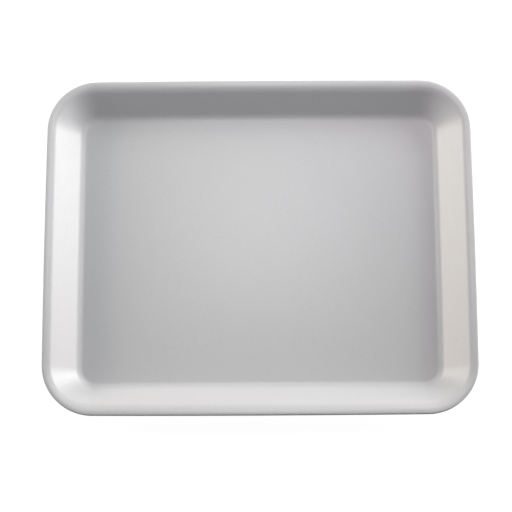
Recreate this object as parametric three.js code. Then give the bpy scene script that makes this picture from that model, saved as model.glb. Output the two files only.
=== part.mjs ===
// A shallow rectangular food tray, thermoformed in one piece from expanded polystyrene foam sheet.
// A flat floor runs through a fillet into walls that lean outwards, and the walls turn over into a
// narrow lip whose outer edge is the trimmed edge of the sheet. The end walls lean out further than
// the side walls, under a tighter lip, and each corner passes smoothly from one to the other.
// Millimetres, +Z up, +X along the long side, origin under the middle of the base.
import * as THREE from "three";

// Plan of the rim, edge to edge at the corners' ends, and how far each side bows past that
const LENGTH = 254;
const WIDTH = 202;
const SIDE_BOW = 0.3;
const FLOOR_CORNER_RADIUS = 8.5;

// Section through a wall, taken on the upper face of the sheet
const SHEET = 2.5;
const DEPTH = 14.5;
const FLOOR_FILLET = 6.5;
const END_LIP_RADIUS = 7.2;
const SIDE_LIP_RADIUS = 9.2;
const END_WALL_ANGLE = THREE.MathUtils.degToRad(41.3);
const SIDE_WALL_ANGLE = THREE.MathUtils.degToRad(46);

// The trimmed edge of the lip is crushed a little and rounds over
const EDGE_ROUND_WIDTH = 0.85;
const EDGE_ROUND_DROP = 0.4;

// Facets
const ARC_STEPS = 8;
const CORNER_STEPS = 12;
const SIDE_STEPS = 6;

const TOP = SHEET + DEPTH;

// A wall of the corner. It is a side wall at 0 and an end wall at 1
function wallAt(share) {
  const angle = THREE.MathUtils.lerp(SIDE_WALL_ANGLE, END_WALL_ANGLE, share);
  const lip = THREE.MathUtils.lerp(SIDE_LIP_RADIUS, END_LIP_RADIUS, share);
  const radii = lip + FLOOR_FILLET;
  const straight = (DEPTH - radii * (1 - Math.cos(angle))) / Math.tan(angle);
  // Inward run from the trimmed edge to where the floor is flat
  const run = EDGE_ROUND_WIDTH + radii * Math.sin(angle) + straight;
  return { angle, lip, run };
}

const RIM_CORNER_RADIUS = FLOOR_CORNER_RADIUS + wallAt(0).run;

// Points on an arc of the section, from one angle to another
function arc(centre, radius, from, to) {
  const curve = new THREE.EllipseCurve(centre.x, centre.y, radius.x, radius.y, from, to, to < from);
  return curve.getPoints(ARC_STEPS);
}

// The section as points of (distance in from the trimmed edge, height). It starts on the floor's upper
// face, climbs to the lip, goes down the trimmed edge and comes back under the sheet.
function sectionPoints({ angle, lip, run }) {
  const round = (radius) => new THREE.Vector2(radius, radius);
  const floorCentre = new THREE.Vector2(run, SHEET + FLOOR_FILLET);
  const lipCentre = new THREE.Vector2(EDGE_ROUND_WIDTH, TOP - lip);
  const edgeCentre = new THREE.Vector2(EDGE_ROUND_WIDTH, TOP - EDGE_ROUND_DROP);
  const edgeRadius = new THREE.Vector2(EDGE_ROUND_WIDTH, EDGE_ROUND_DROP);
  const lean = Math.PI / 2 - angle;
  const up = Math.PI / 2;
  const down = -Math.PI / 2;
  return [
    ...arc(floorCentre, round(FLOOR_FILLET), down, down - angle),
    ...arc(lipCentre, round(lip), lean, up),
    ...arc(edgeCentre, edgeRadius, up, Math.PI).slice(1),
    new THREE.Vector2(0, TOP - SHEET),
    ...arc(lipCentre, round(lip - SHEET), up, lean),
    ...arc(floorCentre, round(FLOOR_FILLET + SHEET), down - angle, down),
  ];
}

// Stations round the plan. Each has the point that the section is measured from, one rim corner radius
// in from the edge, and the direction that points out of the tray there.
function planStations() {
  const reach = new THREE.Vector2(LENGTH / 2 - RIM_CORNER_RADIUS, WIDTH / 2 - RIM_CORNER_RADIUS);
  const quadrants = [[1, 1], [-1, 1], [-1, -1], [1, -1]];
  const corners = quadrants.map((signs) => new THREE.Vector2(...signs).multiply(reach));
  const stations = [];
  corners.forEach((corner, quarter) => {
    for (let i = 0; i <= CORNER_STEPS; i++) {
      const angle = (quarter + i / CORNER_STEPS) * (Math.PI / 2);
      stations.push({ base: corner, out: new THREE.Vector2(Math.cos(angle), Math.sin(angle)) });
    }
    const next = corners[(quarter + 1) % corners.length];
    const { out } = stations.at(-1);
    for (let i = 1; i < SIDE_STEPS; i++) {
      const along = i / SIDE_STEPS;
      const bow = SIDE_BOW * (1 - (2 * along - 1) ** 2);
      stations.push({ base: corner.clone().lerp(next, along).addScaledVector(out, bow), out });
    }
  });
  return stations;
}

// Carries the section round the stations, and closes the floor above and the base below
function sweptSheet(stations) {
  const positions = [];
  for (const { base, out } of stations) {
    for (const { x: inward, y: height } of sectionPoints(wallAt(out.x ** 2))) {
      const point = base.clone().addScaledVector(out, RIM_CORNER_RADIUS - inward);
      positions.push(point.x, point.y, height);
    }
  }
  const floorMiddle = positions.length / 3;
  const baseMiddle = floorMiddle + 1;
  positions.push(0, 0, SHEET, 0, 0, 0);

  const rows = floorMiddle / stations.length;
  const indices = [];
  stations.forEach((_, j) => {
    const here = j * rows;
    const next = ((j + 1) % stations.length) * rows;
    for (let i = 0; i < rows - 1; i++) {
      indices.push(here + i, next + i + 1, next + i);
      indices.push(here + i, here + i + 1, next + i + 1);
    }
    indices.push(floorMiddle, here, next);
    indices.push(baseMiddle, next + rows - 1, here + rows - 1);
  });

  const geometry = new THREE.BufferGeometry();
  geometry.setAttribute("position", new THREE.Float32BufferAttribute(positions, 3));
  geometry.setIndex(indices);
  geometry.computeVertexNormals();
  return geometry;
}

const foam = new THREE.MeshStandardMaterial({ color: 0xd8d7d9, roughness: 0.5, metalness: 0 });

const tray = new THREE.Mesh(sweptSheet(planStations()), foam);
tray.name = "tray";

const part = new THREE.Group();
part.add(tray);

export default part;
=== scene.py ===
"""A shallow food tray, thermoformed in one piece from expanded polystyrene foam sheet."""

import math

import bmesh
import bpy
from bpy.props import FloatProperty, FloatVectorProperty, PointerProperty
from mathutils import Matrix, Vector


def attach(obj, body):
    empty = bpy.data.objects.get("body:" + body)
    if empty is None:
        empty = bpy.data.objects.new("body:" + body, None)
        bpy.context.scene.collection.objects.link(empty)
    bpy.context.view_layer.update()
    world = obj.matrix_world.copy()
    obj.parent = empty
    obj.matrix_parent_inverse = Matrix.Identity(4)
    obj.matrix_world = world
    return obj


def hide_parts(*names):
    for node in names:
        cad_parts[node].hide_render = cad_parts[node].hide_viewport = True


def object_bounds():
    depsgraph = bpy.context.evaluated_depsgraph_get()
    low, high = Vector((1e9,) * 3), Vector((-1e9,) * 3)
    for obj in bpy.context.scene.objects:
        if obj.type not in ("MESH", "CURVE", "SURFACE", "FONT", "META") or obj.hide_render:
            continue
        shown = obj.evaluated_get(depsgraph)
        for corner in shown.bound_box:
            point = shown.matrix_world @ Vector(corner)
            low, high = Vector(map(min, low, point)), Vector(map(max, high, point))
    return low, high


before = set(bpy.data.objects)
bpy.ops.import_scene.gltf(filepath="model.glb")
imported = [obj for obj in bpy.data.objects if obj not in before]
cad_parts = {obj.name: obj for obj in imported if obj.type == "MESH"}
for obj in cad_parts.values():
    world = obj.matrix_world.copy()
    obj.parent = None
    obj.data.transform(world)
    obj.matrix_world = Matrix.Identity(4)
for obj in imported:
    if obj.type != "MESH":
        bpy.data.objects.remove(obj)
cad_low, cad_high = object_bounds()

bl_info = {
    "name": "Foam food tray",
    "version": (1, 0, 0),
    "blender": (4, 5, 0),
    "location": "View3D > Sidebar > Food tray",
    "description": "Models a thermoformed foam food tray and the studio that shows it",
    "category": "Add Mesh",
}

MM = 0.001

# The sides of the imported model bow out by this, so its rim between the corners' ends is that much
# smaller on each side than its box
SIDE_BOW = 0.3 * MM
RIM_LENGTH = cad_high.x - cad_low.x - 2 * SIDE_BOW
RIM_WIDTH = cad_high.y - cad_low.y - 2 * SIDE_BOW

# Facets of the tray: one fillet of the section, one quarter of the edge's rounding, one corner of
# the plan, and half a side of the plan
ARC_STEPS = 10
EDGE_STEPS = 6
CORNER_STEPS = 36
HALF_SIDE_STEPS = 16

# Points nearer to each other than this are joined
JOIN_DISTANCE = 0.001 * MM

# Width of the border round the flat floor and the flat base that keeps their shading flat
FLAT_BORDER = 0.8 * MM

# Faces whose normal rises or falls by less than this are the trimmed edge of the sheet
CUT_EDGE_RISE = 0.5

# Edges that turn by more than this stay crisp
CRISP_ANGLE = math.radians(35)

# The cells of the foam are about 0.4 mm across, too fine to show, so they are drawn larger
SKIN_CELL = 0.9 * MM
CUT_CELL = 0.5 * MM

# The sheet stretches unevenly over the mould, which clouds and dimples its skin over these lengths
CLOUD = 22 * MM
DIMPLE = 3.2 * MM

FOAM_IOR = 1.5
WHITE = (1, 1, 1, 1)
SENSOR_WIDTH = 36

# How far the floor reaches from the tray, in metres. It stays within the reach of the lamps
FLOOR_REACH = 1

# Each lamp has its name, the direction it stands in as seen from the tray (0 is right, 90 is
# behind), its height above the horizon in degrees, its distance, width and height in metres, its
# power in watts and its colour
LAMPS = (
    ("right lamp", 20, 8, 1.2, 0.8, 0.25, 7.27, "FFF6F3"),
    ("far right lamp", 35, 20, 1.2, 0.8, 0.25, 8.42, "F8FFFB"),
    ("left lamp", 160, 16, 1.2, 0.8, 0.25, 6.15, "FFF1E3"),
    ("far left lamp", 145, 20, 1.2, 0.8, 0.25, 2.48, "EFFFFC"),
    ("back right lamp", 60, 50, 0.6, 0.15, 0.15, 0.47, "FFE5F4"),
    ("back left lamp", 120, 50, 0.6, 0.15, 0.15, 0.21, "EDFFF2"),
    ("top lamp", 90, 75, 0.4, 0.12, 0.12, 0.33, "F4FBFF"),
)


def linear(hex_colour):
    """Turns an sRGB hex colour to linear red, green and blue."""
    values = (int(hex_colour[i : i + 2], 16) / 255 for i in (0, 2, 4))
    return tuple(v / 12.92 if v <= 0.04045 else ((v + 0.055) / 1.055) ** 2.4 for v in values)


def size(name, description, default):
    """A length in metres that a user may change."""
    return FloatProperty(
        name=name,
        description=description,
        default=default,
        min=0,
        precision=5,
        subtype="DISTANCE",
        unit="LENGTH",
    )


def degrees(name, description, default):
    """An angle that a user may change, with its default in degrees."""
    return FloatProperty(
        name=name,
        description=description,
        default=math.radians(default),
        subtype="ANGLE",
        unit="ROTATION",
    )


def level(name, description, default):
    """A factor or a strength of light that a user may change."""
    return FloatProperty(name=name, description=description, default=default, min=0)


def colour(name, description, hex_colour):
    """A colour that a user may change."""
    return FloatVectorProperty(
        name=name,
        description=description,
        default=linear(hex_colour),
        min=0,
        max=1,
        size=3,
        subtype="COLOR",
    )


class TraySizes(bpy.types.PropertyGroup):
    """Sizes of the tray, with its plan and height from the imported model."""

    side_bow: size("Side bow", "How far the middle of each side stands out past its ends", SIDE_BOW)
    length: size("Length", "Rim along the long side, at the corners' ends", RIM_LENGTH)
    width: size("Width", "Rim along the short side, at the corners' ends", RIM_WIDTH)
    height: size("Height", "From the base to the top of the lip", cad_high.z)
    sheet: size("Sheet", "Thickness of the foam sheet", 2.5 * MM)
    floor_fillet: size("Floor fillet", "Upper radius between the floor and the walls", 6.5 * MM)
    end_lip: size("End lip radius", "Upper radius between the end walls and the lip", 7.2 * MM)
    side_lip: size("Side lip radius", "Upper radius between the side walls and the lip", 9.2 * MM)
    floor_corner: size("Floor corner", "Corner radius of the flat floor in plan", 8.5 * MM)
    edge_width: size("Edge rounding width", "How far in the rounding of the edge starts", 0.85 * MM)
    edge_drop: size("Edge rounding drop", "How far the lip falls to its trimmed edge", 0.4 * MM)
    edge_break: size("Edge break", "Radius on the lower corner of the trimmed edge", 0.3 * MM)
    end_angle: degrees("End wall angle", "Lean of the end walls above the horizontal", 41.3)
    side_angle: degrees("Side wall angle", "Lean of the side walls above the horizontal", 46)


class TrayColours(bpy.types.PropertyGroup):
    """Colours of the foam."""

    skin: colour("Skin", "Smooth moulded skin of the foam", "D8D7D9")
    # Also painted as shade in the hollows of the open cells on the trimmed edge
    cell: colour("Cells", "Shade between the cells under the skin", "CDCCCE")
    cut: colour("Cut edge", "Open cells where the sheet was trimmed", "D2D1D3")


class StudioSettings(bpy.types.PropertyGroup):
    """The camera's place, the level of the light and the look of the floor."""

    aim: FloatVectorProperty(
        name="Aim",
        description="Point on the lip's level that the camera looks at",
        default=(-2.08 * MM, -7.28 * MM, cad_high.z),
        subtype="TRANSLATION",
        unit="LENGTH",
    )
    distance: size("Distance", "From the camera to the point it looks at", 942.7 * MM)
    tilt: degrees("Tilt", "Lean of the camera towards the near side", 12.55)
    pan: degrees("Pan", "Lean of the camera towards the right", 0.31)
    roll: degrees("Roll", "Turn of the camera about its own axis", -0.25)
    lens: FloatProperty(
        name="Lens", description="Focal length in millimetres", default=112.5, unit="CAMERA"
    )
    lamp_level: level("Lamp level", "Factor on the power of all lamps", 1)
    ambient: level("Ambient", "Strength of the light from all round", 0)
    floor: colour("Floor", "Colour of the floor, as it sends light back to the tray", "F2F2F2")
    glow: level("Glow", "How white the floor looks where no light falls on it", 0.95)
    bounce: level("Bounce", "Light that the floor itself gives to the tray", 0.25)
    shadow: colour("Shadow", "Colour that the light on the floor adds to its glow", "959595")


def add_node(tree, kind, inputs=None, **settings):
    """Adds a node. Each input is either a value, or the output of another node to link."""
    node = tree.nodes.new(kind)
    for name, value in settings.items():
        setattr(node, name, value)
    for name, value in (inputs or {}).items():
        if isinstance(value, bpy.types.NodeSocket):
            tree.links.new(value, node.inputs[name])
        else:
            node.inputs[name].default_value = value
    return node


def map_range(tree, value, start=(0, 1), end=(0, 1)):
    """Maps a value from the start range to the end range."""
    inputs = {
        "Value": value,
        "From Min": start[0],
        "From Max": start[1],
        "To Min": end[0],
        "To Max": end[1],
    }
    return add_node(tree, "ShaderNodeMapRange", inputs).outputs["Result"]


def mix_colours(tree, factor, first, second):
    """Mixes two colours, from the first at factor 0 to the second at factor 1."""
    # A mix of colours takes them in sockets 6 and 7, and gives the result from socket 2
    inputs = {"Factor": factor, 6: (*first, 1), 7: (*second, 1)}
    return add_node(tree, "ShaderNodeMix", inputs, data_type="RGBA").outputs[2]


def empty_material(name):
    """A material with no nodes yet."""
    material = bpy.data.materials.new(name)
    material.use_nodes = True
    material.node_tree.nodes.clear()
    return material


def shade_foam(tree, tint, roughness, relief):
    """Gives a foam material its colour, its roughness and its relief."""
    inputs = {
        "Base Color": tint,
        "Roughness": roughness,
        "Normal": relief.outputs["Normal"],
        "IOR": FOAM_IOR,
    }
    shader = add_node(tree, "ShaderNodeBsdfPrincipled", inputs)
    add_node(tree, "ShaderNodeOutputMaterial", {"Surface": shader.outputs["BSDF"]})


def foam_skin(colours):
    """Thermoformed polystyrene foam: a satin skin, faintly mottled by the cells under it."""
    material = empty_material("expanded polystyrene foam skin")
    tree = material.node_tree
    place = add_node(tree, "ShaderNodeTexCoord").outputs["Object"]
    cells = add_node(tree, "ShaderNodeTexVoronoi", {"Vector": place, "Scale": 1 / SKIN_CELL})
    clouds = add_node(
        tree, "ShaderNodeTexNoise", {"Vector": place, "Scale": 1 / CLOUD, "Detail": 2}
    )
    dimples = add_node(
        tree, "ShaderNodeTexNoise", {"Vector": place, "Scale": 1 / DIMPLE, "Detail": 1}
    )
    off_centre = cells.outputs["Distance"]
    dimple = dimples.outputs["Fac"]

    gaps = map_range(tree, off_centre, start=(0.25, 0.9))
    cloudy = map_range(tree, clouds.outputs["Fac"], end=(0.1, 0.6))
    share = add_node(tree, "ShaderNodeMath", {0: gaps, 1: cloudy}, operation="MULTIPLY")
    tint = mix_colours(tree, share.outputs["Value"], colours.skin, colours.cell)
    roughness = map_range(tree, dimple, end=(0.3, 0.38))
    uneven = add_node(
        tree, "ShaderNodeBump", {"Height": dimple, "Strength": 1, "Distance": 0.01 * MM}
    )
    pitted = add_node(
        tree,
        "ShaderNodeBump",
        {
            "Height": off_centre,
            "Strength": 1,
            "Distance": 0.004 * MM,
            "Normal": uneven.outputs["Normal"],
        },
        invert=True,
    )
    shade_foam(tree, tint, roughness, pitted)
    return material


def cut_foam(colours):
    """The same foam where the sheet was die cut: matt, with open cells whose hollows carry painted
    shade.
    """
    material = empty_material("die-cut expanded polystyrene foam")
    tree = material.node_tree
    place = add_node(tree, "ShaderNodeTexCoord").outputs["Object"]
    cells = add_node(tree, "ShaderNodeTexVoronoi", {"Vector": place, "Scale": 1 / CUT_CELL})
    off_centre = cells.outputs["Distance"]

    # Painted shade: each open cell is drawn darker towards its hollow middle, where the bump sinks
    # deepest
    pit_shade = map_range(tree, off_centre, start=(0.1, 0.7))
    tint = mix_colours(tree, pit_shade, colours.cell, colours.cut)
    roughness = map_range(tree, off_centre, end=(0.95, 0.75))
    pitted = add_node(
        tree, "ShaderNodeBump", {"Height": off_centre, "Strength": 0.6, "Distance": 0.12 * MM}
    )
    shade_foam(tree, tint, roughness, pitted)
    return material


def line(bm, tip, x, z):
    """Carries the section on in a straight line to a new tip."""
    (tip,) = bmesh.ops.extrude_vert_indiv(bm, verts=[tip])["verts"]
    tip.co = x, 0, z
    return tip


def arc(bm, tip, x, z, angle, steps):
    """Carries the section on round a centre to a new tip, clockwise as seen from the near side."""
    made = bmesh.ops.spin(
        bm, geom=[tip], cent=(x, 0, z), axis=(0, 1, 0), angle=angle, steps=steps
    )
    (tip,) = (g for g in made["geom_last"] if isinstance(g, bmesh.types.BMVert))
    return tip


def wall_at(sizes, share):
    """Lean, lip radius and inward run of a wall, from the side wall at 0 to the end wall at 1."""
    angle = sizes.side_angle + (sizes.end_angle - sizes.side_angle) * share
    lip = sizes.side_lip + (sizes.end_lip - sizes.side_lip) * share
    radii = lip + sizes.floor_fillet
    straight = (sizes.height - sizes.sheet - radii * (1 - math.cos(angle))) / math.tan(angle)
    return angle, lip, sizes.edge_width + radii * math.sin(angle) + straight


def draw_section(bm, sizes, rim_corner, share):
    """Draws the section of the sheet, outwards from the middle of a corner of the plan.

    It starts on the floor, climbs the wall to the lip, goes down the trimmed edge and comes back
    below. Returns the edges of the section.
    """
    angle, lip, run = wall_at(sizes, share)
    sheet, top, fillet = sizes.sheet, sizes.height, sizes.floor_fillet
    floor_x, floor_z = rim_corner - run, sheet + fillet
    lip_x, lip_z = rim_corner - sizes.edge_width, top - lip
    leaning = Vector((-math.sin(angle), math.cos(angle)))
    others = len(bm.edges)

    tip = bm.verts.new((floor_x, 0, sheet))
    tip = arc(bm, tip, floor_x, floor_z, -angle, ARC_STEPS)
    tip = line(bm, tip, lip_x + lip * leaning.x, lip_z + lip * leaning.y)
    tip = arc(bm, tip, lip_x, lip_z, angle, ARC_STEPS)

    # The rounding of the edge is a quarter of a circle, pressed flatter
    before = len(bm.verts)
    tip = arc(bm, tip, lip_x, top - sizes.edge_width, math.pi / 2, EDGE_STEPS)
    bm.verts.ensure_lookup_table()
    bmesh.ops.scale(
        bm,
        vec=(1, 1, sizes.edge_drop / sizes.edge_width),
        space=Matrix.Translation((0, 0, -top)),
        verts=bm.verts[before:],
    )

    lower = top - sheet
    broken = sizes.edge_break
    tip = line(bm, tip, rim_corner, lower + broken)
    tip = arc(bm, tip, rim_corner - broken, lower + broken, math.pi / 2, EDGE_STEPS)
    tip = line(bm, tip, lip_x, lower)
    tip = arc(bm, tip, lip_x, lip_z, -angle, ARC_STEPS)
    under = fillet + sheet
    tip = line(bm, tip, floor_x - under * leaning.x, floor_z - under * leaning.y)
    arc(bm, tip, floor_x, floor_z, angle, ARC_STEPS)
    bm.edges.ensure_lookup_table()
    return bm.edges[others:]


def quarter_stations(reach, bow):
    """Turns and centres of the sections round a quarter of the plan, from the end wall's middle."""
    shares = [step / HALF_SIDE_STEPS for step in range(HALF_SIDE_STEPS)]
    for share in shares:
        yield 0, Vector((reach.x + bow * (1 - share**2), reach.y * share, 0))
    for step in range(CORNER_STEPS + 1):
        yield math.pi / 2 * step / CORNER_STEPS, reach
    for share in reversed(shares):
        yield math.pi / 2, Vector((reach.x * share, reach.y + bow * (1 - share**2), 0))


def sweep_quarter(bm, sizes):
    """Carries the section round a quarter of the plan, to the side wall's middle."""
    rim_corner = sizes.floor_corner + wall_at(sizes, 0)[-1]
    reach = Vector((sizes.length / 2 - rim_corner, sizes.width / 2 - rim_corner, 0))
    sections = []
    for turn, centre in quarter_stations(reach, sizes.side_bow):
        section = draw_section(bm, sizes, rim_corner, math.cos(turn) ** 2)
        verts = list({vert for edge in section for vert in edge.verts})
        place = Matrix.Translation(centre) @ Matrix.Rotation(turn, 4, "Z")
        bmesh.ops.transform(bm, matrix=place, verts=verts)
        sections.append(section)
    for here, there in zip(sections, sections[1:]):
        bmesh.ops.bridge_loops(bm, edges=here + there)


def tray_mesh(sizes):
    """The tray as one closed shell, made as a quarter and mirrored twice."""
    bm = bmesh.new()
    sweep_quarter(bm, sizes)
    for axis in "XY":
        everything = bm.verts[:] + bm.edges[:] + bm.faces[:]
        bmesh.ops.mirror(bm, geom=everything, merge_dist=JOIN_DISTANCE, axis=axis)
    bmesh.ops.remove_doubles(bm, verts=bm.verts, dist=JOIN_DISTANCE)

    # The floor and the base close the shell
    open_edges = [edge for edge in bm.edges if edge.is_boundary]
    flats = bmesh.ops.holes_fill(bm, edges=open_edges, sides=0)["faces"]
    bmesh.ops.recalc_face_normals(bm, faces=bm.faces)
    bmesh.ops.inset_individual(bm, faces=flats, thickness=FLAT_BORDER, use_even_offset=True)

    for face in bm.faces:
        face.smooth = True
        face.material_index = int(abs(face.normal.z) < CUT_EDGE_RISE)
    for edge in bm.edges:
        edge.smooth = edge.calc_face_angle(0) < CRISP_ANGLE

    mesh = bpy.data.meshes.new("tray")
    bm.to_mesh(mesh)
    bm.free()
    return mesh


class FOODTRAY_OT_tray(bpy.types.Operator):
    """Models the foam tray"""

    bl_idname = "food_tray.tray"
    bl_label = "Make the tray"

    def execute(self, context):
        scene = context.scene
        tray = bpy.data.objects.new("foam_tray", tray_mesh(scene.food_tray_sizes))
        tray.data.materials.append(foam_skin(scene.food_tray_colours))
        tray.data.materials.append(cut_foam(scene.food_tray_colours))
        scene.collection.objects.link(tray)
        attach(tray, "root")
        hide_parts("tray")
        return {"FINISHED"}


class FOODTRAY_OT_camera(bpy.types.Operator):
    """Places the camera above the tray, leaning towards its near side"""

    bl_idname = "food_tray.camera"
    bl_label = "Place the camera"

    def execute(self, context):
        scene = context.scene
        studio = scene.food_tray_studio
        camera = bpy.data.objects.new("camera", bpy.data.cameras.new("camera"))
        scene.collection.objects.link(camera)
        scene.camera = camera
        camera.data.lens = studio.lens
        camera.data.sensor_width = SENSOR_WIDTH
        back = Vector((math.tan(studio.pan), -math.tan(studio.tilt), 1)).normalized()
        right = Vector((0, 1, 0)).cross(back).normalized()
        turn = Matrix((right, back.cross(right), back)).transposed()
        roll = Matrix.Rotation(studio.roll, 3, "Z")
        place = Vector(studio.aim) + back * studio.distance
        camera.matrix_world = Matrix.Translation(place) @ (turn @ roll).to_4x4()
        return {"FINISHED"}


class FOODTRAY_OT_stage(bpy.types.Operator):
    """Sets up the pale floor, the soft lamps and the light from all round"""

    bl_idname = "food_tray.stage"
    bl_label = "Set the stage"

    def execute(self, context):
        scene = context.scene
        studio = scene.food_tray_studio
        scene.view_settings.view_transform = "Standard"
        self.make_floor(scene, studio)
        self.light_from_all_round(scene, studio)
        for name, azimuth, elevation, distance, width, height, power, hex_colour in LAMPS:
            lamp = bpy.data.lights.new(name, "AREA")
            lamp.shape = "RECTANGLE"
            lamp.size = width
            lamp.size_y = height
            lamp.energy = power * studio.lamp_level
            lamp.color = linear(hex_colour)
            turn = Matrix.Rotation(math.radians(azimuth), 4, "Z")
            rise = Matrix.Rotation(math.radians(-elevation), 4, "Y")
            place = turn @ rise @ Vector((distance, 0, 0))
            facing = place.to_track_quat("Z", "Y").to_matrix().to_4x4()
            stand = bpy.data.objects.new(name, lamp)
            stand.matrix_world = Matrix.Translation(place) @ facing
            stand.visible_camera = False
            scene.collection.objects.link(stand)
        return {"FINISHED"}

    def make_floor(self, scene, studio):
        """A pale floor, white where it is seen bare and greyed only by the tray's shadow."""
        bm = bmesh.new()
        bmesh.ops.create_grid(bm, x_segments=1, y_segments=1, size=FLOOR_REACH)
        mesh = bpy.data.meshes.new("studio floor")
        bm.to_mesh(mesh)
        bm.free()
        floor = bpy.data.objects.new("studio_floor", mesh)
        scene.collection.objects.link(floor)

        material = empty_material("matt studio paper")
        tree = material.node_tree
        seen = self.seen_rays(tree)
        tint = mix_colours(tree, seen, studio.floor, studio.shadow)
        strength = map_range(tree, seen, end=(studio.bounce, studio.glow))
        paper = add_node(tree, "ShaderNodeBsdfDiffuse", {"Color": tint})
        glow = add_node(tree, "ShaderNodeEmission", {"Color": WHITE, "Strength": strength})
        both = add_node(
            tree, "ShaderNodeAddShader", {0: paper.outputs["BSDF"], 1: glow.outputs["Emission"]}
        )
        add_node(tree, "ShaderNodeOutputMaterial", {"Surface": both.outputs["Shader"]})
        mesh.materials.append(material)

    def light_from_all_round(self, scene, studio):
        """A world that is white where it is seen, and gives an even light of its own strength."""
        world = bpy.data.worlds.new("studio")
        world.use_nodes = True
        tree = world.node_tree
        tree.nodes.clear()
        strength = map_range(tree, self.seen_rays(tree), end=(studio.ambient, 1))
        glow = add_node(tree, "ShaderNodeBackground", {"Color": WHITE, "Strength": strength})
        add_node(tree, "ShaderNodeOutputWorld", {"Surface": glow.outputs["Background"]})
        scene.world = world

    def seen_rays(self, tree):
        """1 for rays that show the studio, bare, in gloss or through glass, and 0 for its light."""
        rays = add_node(tree, "ShaderNodeLightPath").outputs
        seen = rays["Is Camera Ray"]
        for kind in ("Is Glossy Ray", "Is Transmission Ray"):
            either = add_node(tree, "ShaderNodeMath", {0: seen, 1: rays[kind]}, operation="MAXIMUM")
            seen = either.outputs["Value"]
        return seen


class FOODTRAY_PT_panel(bpy.types.Panel):
    """Lists the sizes, the colours and the steps"""

    bl_label = "Foam food tray"
    bl_space_type = "VIEW_3D"
    bl_region_type = "UI"
    bl_category = "Food tray"

    def draw(self, context):
        scene = context.scene
        for group in SETTINGS:
            settings = getattr(scene, group)
            box = self.layout.box()
            for name in settings.__annotations__:
                box.prop(settings, name)
        for step in STEPS:
            self.layout.operator(step.bl_idname)


STEPS = (FOODTRAY_OT_camera, FOODTRAY_OT_tray, FOODTRAY_OT_stage)
SETTINGS = {
    "food_tray_sizes": TraySizes,
    "food_tray_colours": TrayColours,
    "food_tray_studio": StudioSettings,
}
CLASSES = (*SETTINGS.values(), *STEPS, FOODTRAY_PT_panel)


def register():
    for cls in CLASSES:
        bpy.utils.register_class(cls)
    for name, group in SETTINGS.items():
        setattr(bpy.types.Scene, name, PointerProperty(type=group))


def unregister():
    for name in SETTINGS:
        delattr(bpy.types.Scene, name)
    for cls in reversed(CLASSES):
        bpy.utils.unregister_class(cls)


def main():
    register()
    bpy.ops.food_tray.camera()
    bpy.ops.food_tray.tray()
    bpy.ops.food_tray.stage()


if __name__ == "__main__":
    main()
